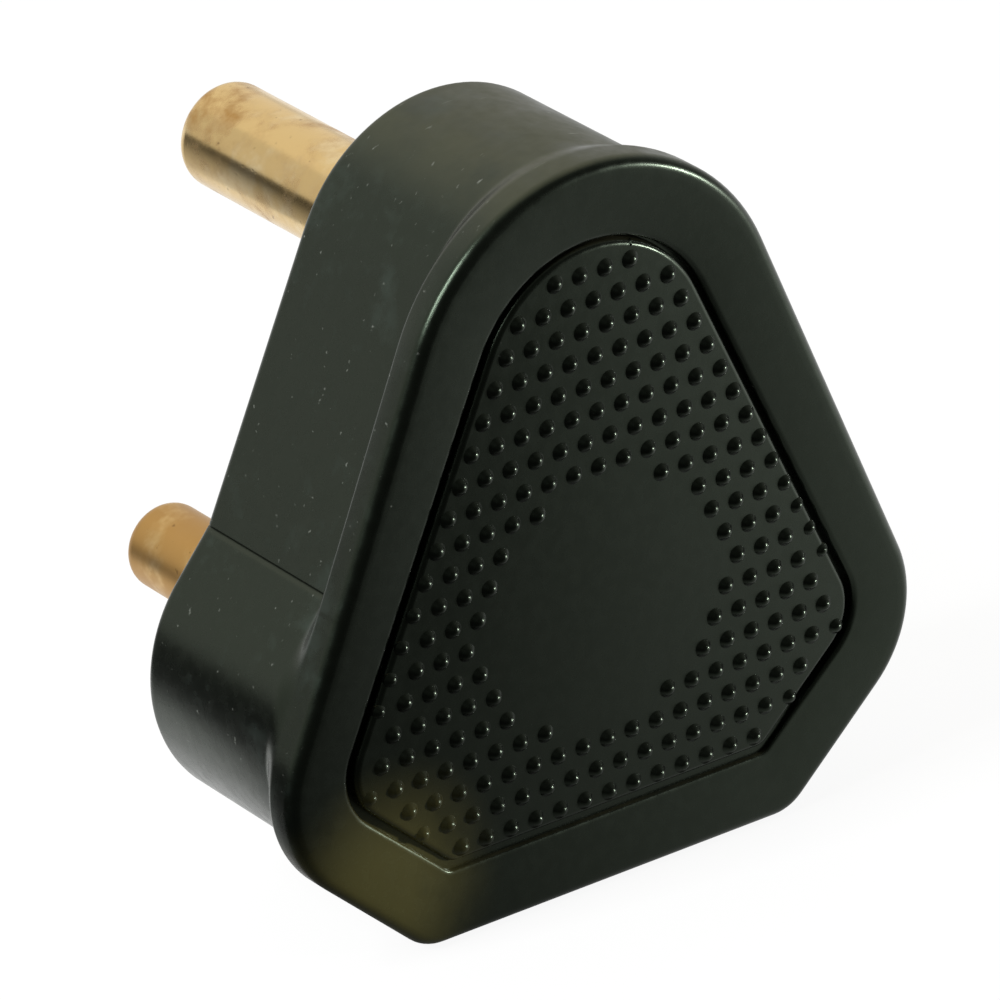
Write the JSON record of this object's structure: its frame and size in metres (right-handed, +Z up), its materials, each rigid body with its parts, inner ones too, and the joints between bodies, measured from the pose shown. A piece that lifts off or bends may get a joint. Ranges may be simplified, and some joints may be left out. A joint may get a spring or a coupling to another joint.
{
  "type": "rubber plug top",
  "caption": "Rubber-covered mains plug top with round brass pins, a domed non-slip face and a cord entry in its flat foot.",
  "frame": {"origin": "centre of the whole plug's footprint, at the flat foot that it stands on", "axes": "+Z up from the foot to the round apex, +Y the way the pins point, -Y the domed face"},
  "size_m": [0.0584, 0.0492, 0.0596],
  "materials": {
    "rubber": "satin moulded rubber",
    "carrier": "matt moulded plastic",
    "brass": "turned brass",
    "zinc_steel": "zinc plated",
    "clamp_plastic": "matt moulded plastic"
  },
  "bodies": {
    "root": {"rubber_cover": "rubber", "pin_carrier": "carrier", "earth_pin": "brass", "live_pin": "brass", "neutral_pin": "brass", "earth_terminal_screw": "zinc_steel", "live_terminal_screw": "zinc_steel", "neutral_terminal_screw": "zinc_steel", "cord_clamp_bar": "clamp_plastic", "cord_clamp_screw_left": "zinc_steel", "cord_clamp_screw_right": "zinc_steel", "cover_screw": "zinc_steel", "cover_nut": "brass"}
  },
  "joints": []
}
